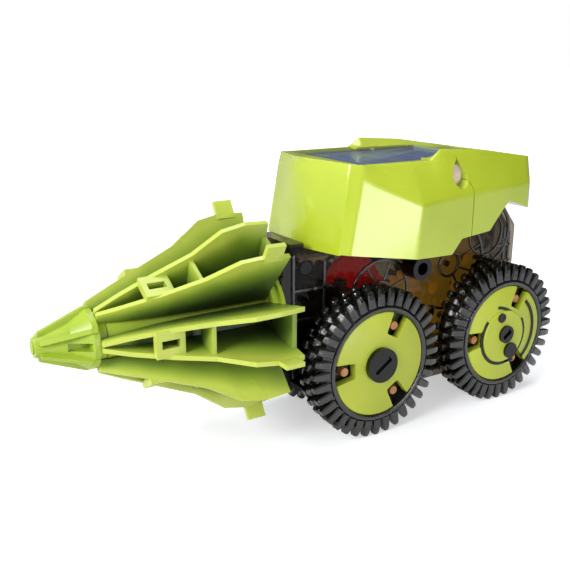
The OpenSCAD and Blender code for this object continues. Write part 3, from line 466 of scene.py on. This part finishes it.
def build_case_ribs(side):
    """Moulded ribs and gear rings that stand out of the casing's side."""
    low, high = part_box("gearbox_left")
    sign = 1 if side == "left" else -1
    wall = max(abs(low.y), abs(high.y)) / MM
    y0, y1 = sign * (wall - 0.2), sign * (wall + 0.45)
    deep = sign * (wall + 0.3)
    motor, gear, crown = middle("motor_can"), middle("compound_gear"), middle("crown_gear")
    front, rear = high.x / MM, low.x / MM
    top = high.z / MM
    build = bmesh.new()
    # rings: centre, radius, width, first and last angle
    for centre, radius, width, first, last in (
            (motor, 10.6, 0.9, 20, 250), (motor, 7.4, 0.6, 0, 359), (gear, 14.9, 0.9, 60, 300),
            (gear, 4.1, 0.8, 0, 359), (crown, 10.9, 0.9, -50, 215), (crown, 4.1, 0.8, 0, 359)):
        extrude_outline(build, arc_outline(centre, radius, width, first, last), y0, y1)
    # spokes: centre, inner and outer radius, angles
    for centre, near, far, turns in (
            (motor, 7.8, 10.4, (35, 80, 125, 200, 245)), (gear, 4.6, 14.4, (80, 120, 160, 200, 240)),
            (crown, 4.6, 10.4, (10, 60, 110, 160))):
        for turn in turns:
            aim = heading(turn)
            spoke = bar_outline(Vector(centre) + aim * near, Vector(centre) + aim * far, 0.6)
            extrude_outline(build, spoke, y0, deep)
    # straight ribs: the (x, z) of each end
    crossbars = [((front - 1.2, 20), (front - 1.2, 58)), ((front - 12, 30), (front - 12, 55)),
                 ((front - 1.5, 47), (front - 20, 47)), ((front - 1.5, 38), (front - 18, 38)),
                 ((rear + 2.4, 38), (rear + 2.4, 55)), ((rear + 4.6, 36), (rear + 4.6, 57)),
                 ((rear + 1.2, 45), (rear + 9, 45)), ((rear + 1.6, 50.5), (rear + 8, 50.5)),
                 ((motor[0] + 12, top - 1.4), (rear + 8, top - 1.4))]
    for start, end in crossbars:
        extrude_outline(build, bar_outline(start, end, 0.9), y0, deep)
    soften(finish_mesh(f"case_ribs_{side}", build, "smoky_rib_clear", "chassis"), 0.12)


def build_wheel(node, body, studs, stud_width):
    """A clear smoky wheel: turned tyre with bevelled shoulders and three rows of tapered studs."""
    low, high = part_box(node)
    side = 1 if high.y > 0 else -1
    centre = (low + high) / 2
    tip = (high.z - low.z) / 2 / MM
    inner, outer = sorted((abs(low.y) / MM, abs(high.y) / MM))
    inner += 0.3
    drum = tip - 2.8
    build = bmesh.new()
    turn_profile(build, [
        (1.5, inner - 0.3), (3.9, inner - 0.3), (4.2, inner), (4.2, outer - 5.7), (16.6, outer - 5.7),
        (17.3, inner + 0.9), (18.2, inner + 0.1), (drum - 1.0, inner + 0.1), (drum - 0.25, inner + 1.1),
        (drum, inner + 3), (drum, outer - 3.4), (drum - 0.3, outer - 2.2), (drum - 1.5, outer - 1.2),
        (18.2, outer - 0.8), (17.95, outer - 0.6), (17.85, outer - 0.15), (17.6, outer),
        (17.0, outer), (16.7, outer - 0.12), (SEAT_R, outer - 0.4), (SEAT_R, outer - 3.7),
        (1.5, outer - 3.7)], centre, 144, side)
    rows = [  # y range at the root, y range at the tip, root radius, tip radius, share of a pitch turned
        ((inner + 0.35, inner + 3.1), (inner + 0.9, inner + 2.5), drum - 0.7, tip - 0.55, 0.0),
        ((inner + 3.75, inner + 6.65), (inner + 4.4, inner + 6.0), drum - 0.4, tip - 0.25, 0.5),
        ((inner + 7.35, outer - 0.28), (inner + 8.0, outer - 0.95), drum - 2.4, tip - 0.02, 0.0)]
    half = stud_width / 2 / MM
    stations = ((0.0, 1.0, 0.0), (0.5, 0.93, 0.2), (0.8, 0.84, 0.55), (0.94, 0.72, 0.9), (1.0, 0.55, 1.0))
    for root_y, tip_y, root_r, tip_r, turn in rows:
        for i in range(studs):
            angle = 2 * math.pi * (i + turn) / studs - math.pi / 2
            out = Vector((math.cos(angle), 0, math.sin(angle)))
            along = Vector((-math.sin(angle), 0, math.cos(angle)))
            loops = []
            for up, width, inward in stations:
                y0 = root_y[0] + (tip_y[0] - root_y[0]) * inward
                y1 = root_y[1] + (tip_y[1] - root_y[1]) * inward
                nick = 0.3 * min(half * width, (y1 - y0) / 2)
                w = half * width
                radius = root_r + (tip_r - root_r) * up
                outline = [(-w, y0 + nick), (-w + nick, y0), (w - nick, y0), (w, y0 + nick),
                           (w, y1 - nick), (w - nick, y1), (-w + nick, y1), (-w, y1 - nick)]
                loops.append([Vector((centre.x, 0, centre.z)) + (out * radius + along * a) * MM
                              + Vector((0, side * y * MM, 0)) for a, y in outline])
            loft_loops(build, loops, caps=(False, True))
    finish_mesh(node + "_studded", build, "smoky_wheel_clear", body, [node], 28)


def about_axle(point):
    """Turns millimetres about the front axle into a place in the frame."""
    axle = middle("front_axle")
    x, y, z = point
    return Vector((axle[0] + x, y, axle[1] + z)) * MM


def cutter(name, outline, y0, y1):
    """A prism that cuts a piece: an (x, z) outline about the front axle, between two y values."""
    build = bmesh.new()
    loft_loops(build, [[about_axle((x, y, z)) for x, z in outline] for y in (y0, y1)], caps=(True, True))
    bmesh.ops.recalc_face_normals(build, faces=build.faces)
    mesh = bpy.data.meshes.new(name)
    build.to_mesh(mesh)
    build.free()
    tool = bpy.data.objects.new(name, mesh)
    bpy.context.scene.collection.objects.link(tool)
    return tool


def apply_modifiers(piece):
    """Makes the modifiers' result the piece's own mesh."""
    graph = bpy.context.evaluated_depsgraph_get()
    mesh = bpy.data.meshes.new_from_object(piece.evaluated_get(graph))
    piece.modifiers.clear()
    old, piece.data = piece.data, mesh
    bpy.data.meshes.remove(old)


def cut(piece, tools):
    """Cuts a piece with prisms, then removes them."""
    for tool in tools:
        boolean = piece.modifiers.new("Cut", "BOOLEAN")
        boolean.operation = "DIFFERENCE"
        boolean.solver = "EXACT"
        boolean.object = tool
    apply_modifiers(piece)
    for tool in tools:
        mesh = tool.data
        bpy.data.objects.remove(tool)
        bpy.data.meshes.remove(mesh)


def build_cover(axle, side_name):
    """A hub cover: a disc with three notches that widen outwards; the rear one carries a cam disc."""
    side = 1 if side_name == "left" else -1
    low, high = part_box(f"{axle}_cover_{side_name}")
    wheel_low, wheel_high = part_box(f"{axle}_wheel_{side_name}")
    centre = (wheel_low + wheel_high) / 2
    inner, top = sorted((abs(low.y) / MM, abs(high.y) / MM))
    face = min(top, max(abs(wheel_low.y), abs(wheel_high.y)) / MM - 0.2)
    build = bmesh.new()
    turn_profile(build, [(2.2, inner + 0.7), (COVER_R - 0.2, inner + 0.7), (COVER_R, inner + 0.9),
                         (COVER_R, face - 0.4), (COVER_R - 0.1, face - 0.15), (COVER_R - 0.4, face),
                         (2.2, face)], centre, 120, side)
    cover = finish_mesh(f"{axle}_cover_{side_name}_moulded", build, "lime_abs_cover", f"{axle}_wheels",
                        [f"{axle}_cover_{side_name}"], 35)
    hub = (centre.x / MM, centre.z / MM)
    axle_at = middle("front_axle")
    notches = []
    for k, turn in enumerate(WINDOW_TURNS):
        out = heading(turn)
        along = Vector((-out.y, out.x))
        outline = [Vector(hub) - Vector(axle_at) + out * r + along * a
                   for r, a in ((9.2, -2.1), (9.8, -2.5), (18, -3.5), (18, 3.5), (9.8, 2.5), (9.2, 2.1))]
        notches.append(cutter(f"{axle}_{side_name}_notch_{k}", [(p.x, p.y) for p in outline],
                              *sorted((side * inner, side * (top + 1)))))
    cut(cover, notches)
    soften(cover, 0.25, 2, 50)
    if axle == "rear":
        y0, y1 = side * (face - 0.3), side * (top - 0.05)
        cam_at, cam_r, steps = (hub[0] + 0.6, hub[1] - 0.8), 8.9, 64
        disc = bmesh.new()
        extrude_outline(disc, [around(cam_at, cam_r, 2 * math.pi * i / steps) for i in range(steps)],
                        y0, y1)
        soften(finish_mesh(f"rear_cam_{side_name}", disc, "lime_abs_cover", "rear_wheels"), 0.2, 2)
        lines = bmesh.new()
        proud = side * (face + 0.22)
        # black strips laid where the cover's cam grooves run, painted shade of the grooves: centre, radius,
        # width, first and last angle
        for track_at, radius, width, first, last in (
                (cam_at, 9.6, 1.1, 150, 400), (hub, 13.4, 1.2, 132, 228),
                ((hub[0] + 5, hub[1] - 3), 12.6, 1.0, 96, 168),
                ((hub[0] - 3, hub[1] + 4), 14.2, 0.9, 262, 318)):
            extrude_outline(lines, arc_outline(track_at, radius, width, first, last), y0, proud)
        soften(finish_mesh(f"rear_cam_track_{side_name}", lines, "black_abs_satin", "rear_wheels"), 0.1)


# The left half of the shell as rings from front to back, in mm about the front axle: at the bottom,
# the crease, the top edge and the deck beside the panel
SHELL_COLUMNS = (
    ((17.9, 0, 29), (17.9, 0, 56.6), (17.4, 0, 61.1), (12.5, 0, 61.1)),
    ((16.5, 19.6, 29), (12.0, 18.6, 57), (11.2, 18.4, 60.4), (10.2, 17.4, 60.5)),
    ((14.6, 21.2, 29), (9.1, 20.4, 56.8), (8.2, 20.1, 60.1), (7.4, 17.4, 60.3)),
    ((-6.6, 26.8, 29), (-8.4, 26.8, 48.4), (-8.4, 20.6, 60.0), (-8.2, 17.4, 60.2)),
    ((-15.4, 26.0, 29), (-15.6, 25.9, 49.1), (-15.8, 20.6, 60.0), (-15.8, 17.4, 60.2)),
    ((-19.4, 25.6, 29), (-19.4, 25.5, 49.3), (-19.8, 19.9, 63.2), (-19.8, 16.9, 60.2)),
    ((-34.0, 24.0, 29), (-34.0, 24.2, 50.0), (-36.0, 19.6, 61.9), (-36.0, 16.9, 60.0)),
    ((-58.2, 21.6, 29), (-59.0, 20.8, 50.0), (-59.6, 18.5, 58.2), (-59.2, 16.4, 57.9)),
    ((-58.6, 0, 29), (-59.6, 0, 50.0), (-60.9, 0, 58.1), (-60.2, 0, 58.0)),
)
# Sharpness of the edges along each ring, and of the edges down each column
RING_CREASE = (1.0, (0.6, 0.9, 1.0, 1.0, 1.0, 0.95, 0.8, 0.5, 0.4), 0.96, 0.85)
COLUMN_CREASE = (0.3, 1.0, 1.0, 1.0, 0.0, 0.0, 0.0, 0.95, 0.2)


def build_shell(wall, edge):
    """The faceted shell as one smooth skin, thickened, cut open and parted along its seam."""
    build = bmesh.new()
    left = SHELL_COLUMNS
    ring_points = [[about_axle(column[level]) for column in left]
                   + [about_axle((c[level][0], -c[level][1], c[level][2])) for c in left[-2:0:-1]]
                   for level in range(4)]
    rings = loft_loops(build, ring_points)
    count, half = len(rings[0]), len(left)
    deck = rings[3]
    for i in range(1, half - 2):
        build.faces.new((deck[i], deck[i + 1], deck[count - i - 1], deck[count - i]))
    build.faces.new((deck[0], deck[1], deck[count - 1]))
    build.faces.new((deck[half - 2], deck[half - 1], deck[half]))
    layer = build.edges.layers.float.new("crease_edge")
    for level, ring in enumerate(rings):
        for i in range(count):
            column = i if i < half else count - i
            beside = (i + 1) % count
            nearest = min(column, beside if beside < half else count - beside)
            value = RING_CREASE[level]
            build.edges.get((ring[i], ring[beside]))[layer] = value[nearest] if level == 1 else value
            if level:
                sharp = COLUMN_CREASE[column] if level < 3 else 0.6
                build.edges.get((rings[level - 1][i], ring[i]))[layer] = sharp
    bmesh.ops.recalc_face_normals(build, faces=build.faces)
    mesh = bpy.data.meshes.new("shell_skin")
    build.to_mesh(mesh)
    build.free()
    skin = bpy.data.objects.new("shell_skin", mesh)
    bpy.context.scene.collection.objects.link(skin)
    smooth = skin.modifiers.new("Soft facets", "SUBSURF")
    smooth.levels = 4
    smooth.render_levels = 4
    solid = skin.modifiers.new("Wall", "SOLIDIFY")
    solid.thickness = wall
    solid.offset = -1
    solid.use_even_offset = True
    apply_modifiers(skin)

    cover_low, cover_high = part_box("panel_cover")
    axle = middle("front_axle")
    x0, x1 = cover_low.x / MM - axle[0] - 0.2, cover_high.x / MM - axle[0] + 0.2
    w = cover_high.y / MM + 0.2
    z0, z1 = cover_low.z / MM - axle[1] - 3.4, cover_high.z / MM - axle[1] + 9
    under = [(40, 0), (40, 35.8), (18, 34.6), (14.8, 35.6), (-7, 32.9), (-21.8, 32.1), (-26, 36.4),
             (-38.7, 37.1), (-44.7, 43.1), (-47.7, 45.5), (-58, 42), (-80, 42), (-80, 0)]
    hole = [(-28.6, 53.6), (-27.6, 51.9), (-26.2, 51.2), (-24.4, 51.5), (-23.2, 52.7), (-22.4, 54.4),
            (-22.9, 56.3), (-24.0, 58.2), (-25.4, 59.8), (-26.6, 58.6), (-27.9, 56.4), (-28.6, 55)]
    cut(skin, [
        cutter("under_cut", under, -40, 40),
        cutter("panel_cut", [(x0, z0 + 2), (x1, z0 + 2), (x1, z1), (x0, z1)], -w + 3.4, w - 3.4),
        cutter("panel_front_cut", [(-16.2, z0), (x1, z0), (x1, z1), (-16.2, z1)], -w, w),
        cutter("panel_room", [(x0, z0), (x1, z0), (x1, z0 + 4.2), (x0, z0 + 4.2)], -w, w),
        cutter("eye_cut_left", hole, 17.5, 40),
        cutter("eye_cut_right", hole, -40, -17.5)])
    seam = [(-30, 0), (-30, 51), (-28.9, 52.6), (-25.4, 59.6), (-25.2, 60.5), (-15.8, 60.6),
            (-15.8, 80)]
    behind = seam + [(-90, 80), (-90, 0)]
    ahead = [(x - SEAM_GAP, z) for x, z in seam] + [(60, 80), (60, 0)]
    for name, outline in (("shell_front", behind), ("shell_rear", ahead)):
        half_piece = skin.copy()
        half_piece.data = skin.data.copy()
        half_piece.name = name + "_moulded"
        bpy.context.scene.collection.objects.link(half_piece)
        cut(half_piece, [cutter(name + "_seam", outline, -40, 40)])
        half_piece.data.materials.clear()
        half_piece.data.materials.append(finish("lime_abs_polished"))
        half_piece.data.shade_smooth()
        half_piece.data.set_sharp_from_angle(angle=math.radians(42))
        soften(half_piece, edge / MM, 2, 48)
        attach(half_piece, "chassis")
        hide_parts(name)
    mesh = skin.data
    bpy.data.objects.remove(skin)
    bpy.data.meshes.remove(mesh)


class RobotKitShell(bpy.types.PropertyGroup):
    wall: bpy.props.FloatProperty(
        name="Wall", description="Thickness of the shell's wall", default=1.8 * MM, unit="LENGTH")
    edge: bpy.props.FloatProperty(
        name="Edge radius", description="Rounding of the shell's cut edges",
        default=0.3 * MM, unit="LENGTH")


class RobotKitWheels(bpy.types.PropertyGroup):
    studs: bpy.props.IntProperty(
        name="Studs", description="Studs in one row of the tread", default=36)
    stud_width: bpy.props.FloatProperty(
        name="Stud width", description="Width of a stud where it leaves the tyre", default=2.7 * MM,
        unit="LENGTH")


class RobotKitStage(bpy.types.PropertyGroup):
    lens: bpy.props.FloatProperty(
        name="Lens", description="Focal length of the studio camera in millimetres", default=49.3)
    key_power: bpy.props.FloatProperty(
        name="Key light", description="Power of the large key softbox in watts", default=5.1)
    even_light: bpy.props.FloatProperty(
        name="Even light", description="Strength of the light from all round", default=0.34)


class ROBOTKIT_OT_shell(bpy.types.Operator):
    """Shell halves, eyes and tray"""
    bl_idname = "robotkit.shell"
    bl_label = "Shell"

    def execute(self, context):
        size = context.scene.robotkit_shell
        build_shell(size.wall, size.edge)
        for side in SIDES:
            dress(f"eye_{side}", "eye_pink_plastic")
        dress("body_tray", "black_abs_satin", 0.25)
        dress("tray_screws", "screw_steel_black", 0.15)
        return {"FINISHED"}


class ROBOTKIT_OT_panel(bpy.types.Operator):
    """Solar panel and its wires"""
    bl_idname = "robotkit.panel"
    bl_label = "Solar panel"

    def execute(self, context):
        low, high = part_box("solar_cells")
        cells = NODES["solar_cells"].data
        cells.materials.clear()
        cells.materials.append(
            solar_silicon("silicon_cells_blue", (high.x - low.x, high.y - low.y), strips=4, fingers=26))
        dress("panel_frame", "frame_black_resin", 0.2)
        dress("panel_cover", "panel_resin_clear", 0.2)
        dress("wire_red", "wire_sleeve_red")
        dress("wire_black", "wire_sleeve_black")
        return {"FINISHED"}


class ROBOTKIT_OT_chassis(bpy.types.Operator):
    """Gearbox casing, motor, gears and sockets"""
    bl_idname = "robotkit.chassis"
    bl_label = "Chassis"

    def execute(self, context):
        for side in SIDES:
            dress(f"gearbox_{side}", "smoky_polystyrene", 0.4)
            build_case_ribs(side)
            dress(f"socket_{side}", "black_abs_satin", 0.35, 3)
        dress("front_plate", "black_abs_satin", 0.3)
        dress("shaft_bearing", "grey_acetal", 0.2)
        dress("drill_bush", "grey_acetal", 0.2)
        dress("case_screws", "screw_steel_black", 0.15)
        dress("gear_pins", "steel_bar_drawn", 0.1)
        dress("motor_can", "steel_sheet_plated", 0.5, 3)
        dress("motor_cap", "white_acetal", 0.3)
        dress("motor_terminals", "brass_strip_tinned", 0.08)
        dress("motor_shaft", "steel_bar_drawn", 0.1)
        dress("motor_pinion", "white_acetal", 0.1)
        dress("compound_gear", "amber_acetal", 0.12)
        dress("drive_gear", "yellow_acetal", 0.12)
        dress("crown_gear", "red_acetal", 0.1)
        return {"FINISHED"}


class ROBOTKIT_OT_drill(bpy.types.Operator):
    """Drill petals, nose, hub and shaft"""
    bl_idname = "robotkit.drill"
    bl_label = "Drill"

    def execute(self, context):
        for i in range(1, 7):
            dress(f"drill_petal_{i}", "lime_abs_petal_painted_shade", 0.25, 2, 25)
        dress("drill_nose", "lime_abs_satin", 0.25)
        dress("drill_hub", "lime_abs_satin", 0.3)
        dress("drill_shaft", "steel_bar_drawn", 0.1)
        dress("drill_pinion", "white_acetal", 0.1)
        return {"FINISHED"}


class ROBOTKIT_OT_wheels(bpy.types.Operator):
    """Studded wheels, hub covers, caps and axles"""
    bl_idname = "robotkit.wheels"
    bl_label = "Wheels"

    def execute(self, context):
        size = context.scene.robotkit_wheels
        for axle in AXLES:
            for side in SIDES:
                build_wheel(f"{axle}_wheel_{side}", f"{axle}_wheels", size.studs, size.stud_width)
                build_cover(axle, side)
                dress(f"{axle}_cap_{side}", "black_abs_satin", 0.25)
            dress(f"{axle}_axle", "steel_bar_drawn", 0.1)
            dress(f"{axle}_axle_gear", "white_acetal", 0.1)
            dress(f"{axle}_window_pins", "copper_plastic", 0.2)
        dress("crank_pins", "black_abs_satin", 0.2)
        return {"FINISHED"}


class ROBOTKIT_OT_stage(bpy.types.Operator):
    """Floor, soft lights and camera"""
    bl_idname = "robotkit.stage"
    bl_label = "Studio"

    def execute(self, context):
        scene = context.scene
        size = context.scene.robotkit_stage
        mesh = bpy.data.meshes.new("floor")
        half = 6.0  # half the floor's width, in metres
        mesh.from_pydata([(-half, -half, 0), (half, -half, 0), (half, half, 0), (-half, half, 0)],
                         [], [(0, 1, 2, 3)])
        floor = bpy.data.objects.new("floor", mesh)
        scene.collection.objects.link(floor)
        paper, tree, place, output = new_material("floor_paper_matt")
        fibre = add(tree, "ShaderNodeTexNoise", {"Scale": 1 / (3 * MM), "Detail": 3.0},
                    {"Vector": (place, "Object")})
        shade = add(tree, "ShaderNodeValToRGB", None, {"Fac": (fibre, "Fac")})
        ramp(shade, [(0.3, linear("#D9D9DB")), (0.7, linear("#DEDEE0"))])
        # the paper is lit more evenly away from the object, so it runs out to plain white
        distance = add(tree, "ShaderNodeVectorMath", {"operation": "LENGTH"}, {0: (place, "Object")})
        lift = add(tree, "ShaderNodeMapRange",
                   {"From Min": 0.12, "From Max": 0.7, "To Min": 0.5, "To Max": 0.86},
                   {"Value": (distance, "Value")})
        direct = add(tree, "ShaderNodeLightPath")
        glow = add(tree, "ShaderNodeMapRange", {"To Min": 0.12},
                   {"Value": (direct, "Is Camera Ray"), "To Max": (lift, "Result")})
        surface = add(tree, "ShaderNodeBsdfPrincipled",
                      {"Roughness": 0.6, "IOR": 1.35, "Emission Color": (1, 1, 1, 1)},
                      {"Base Color": (shade, "Color"), "Emission Strength": (glow, "Result")})
        tree.links.new(surface.outputs["BSDF"], output.inputs["Surface"])
        mesh.materials.append(paper)

        # a white sweep behind the object; a dimmer light from all round that is strongest ahead of it
        world = bpy.data.worlds.new("studio")
        world.use_nodes = True
        sky = world.node_tree
        sky.nodes.clear()
        seen = add(sky, "ShaderNodeLightPath")
        bearing = add(sky, "ShaderNodeTexCoord")
        ahead = add(sky, "ShaderNodeVectorMath", {"operation": "DOT_PRODUCT", 1: (0.78, -0.12, 0.6)},
                    {0: (bearing, "Generated")})
        strength = add(sky, "ShaderNodeMapRange",
                       {"From Min": -0.35, "From Max": 1.0, "To Min": 0.2 * size.even_light,
                        "To Max": 2.4 * size.even_light}, {"Value": (ahead, "Value")})
        even = add(sky, "ShaderNodeBackground", {"Color": linear("#F4F7FF")},
                   {"Strength": (strength, "Result")})
        sweep = add(sky, "ShaderNodeBackground", {"Color": (1, 1, 1, 1), "Strength": 1.0})
        mix = add(sky, "ShaderNodeMixShader", None,
                  {"Fac": (seen, "Is Camera Ray"), 1: (even, "Background"), 2: (sweep, "Background")})
        add(sky, "ShaderNodeOutputWorld", None, {"Surface": (mix, "Shader")})
        scene.world = world
        scene.view_settings.view_transform = "Standard"

        target = Vector((0.0, 0.0, 0.045))
        softboxes = [  # name, place, width, power
            ("key_softbox", (0.66, 0.20, 0.42), 0.26, size.key_power),
            ("top_softbox", (-0.05, -0.10, 0.75), 0.42, size.key_power * 0.46),
            ("side_card", (-0.07, 0.38, 0.04), 0.15, size.key_power * 0.088),
        ]
        for name, place_at, width, power in softboxes:
            data = bpy.data.lights.new(name, "AREA")
            data.shape = "SQUARE"
            data.size = width
            data.energy = power
            lamp = bpy.data.objects.new(name, data)
            lamp.location = place_at
            lamp.rotation_euler = (target - Vector(place_at)).to_track_quat("-Z", "Y").to_euler()
            scene.collection.objects.link(lamp)

        camera_data = bpy.data.cameras.new("camera")
        camera_data.lens = size.lens
        camera_data.sensor_width = 36
        camera = bpy.data.objects.new("camera", camera_data)
        camera.location = (0.12845, 0.1915, 0.1122)
        tilt, turn = 16.3, 148.4  # degrees below level, and round from looking along +Y
        camera.rotation_euler = (math.radians(90 - tilt), 0, math.radians(turn))
        scene.collection.objects.link(camera)
        scene.camera = camera
        return {"FINISHED"}


class ROBOTKIT_PT_panel(bpy.types.Panel):
    """Lists the pieces in the sidebar"""
    bl_label = "Robot kit"
    bl_idname = "ROBOTKIT_PT_panel"
    bl_space_type = "VIEW_3D"
    bl_region_type = "UI"
    bl_category = "Robot kit"

    def draw(self, context):
        layout = self.layout
        scene = context.scene
        for group in (getattr(scene, name) for name in GROUPS):
            for name in group.__annotations__:
                layout.prop(group, name)
        for operator in OPERATORS:
            layout.operator(operator.bl_idname)


GROUPS = {"robotkit_shell": RobotKitShell, "robotkit_wheels": RobotKitWheels,
          "robotkit_stage": RobotKitStage}
OPERATORS = (ROBOTKIT_OT_shell, ROBOTKIT_OT_panel, ROBOTKIT_OT_chassis, ROBOTKIT_OT_drill,
             ROBOTKIT_OT_wheels, ROBOTKIT_OT_stage)
CLASSES = (*GROUPS.values(), *OPERATORS, ROBOTKIT_PT_panel)


def register():
    for item in CLASSES:
        bpy.utils.register_class(item)
    for name, group in GROUPS.items():
        setattr(bpy.types.Scene, name, bpy.props.PointerProperty(type=group))


def unregister():
    for name in GROUPS:
        delattr(bpy.types.Scene, name)
    for item in reversed(CLASSES):
        bpy.utils.unregister_class(item)


def main():
    register()
    for operator in OPERATORS:
        area, name = operator.bl_idname.split(".")
        getattr(getattr(bpy.ops, area), name)()


if __name__ == "__main__":
    main()
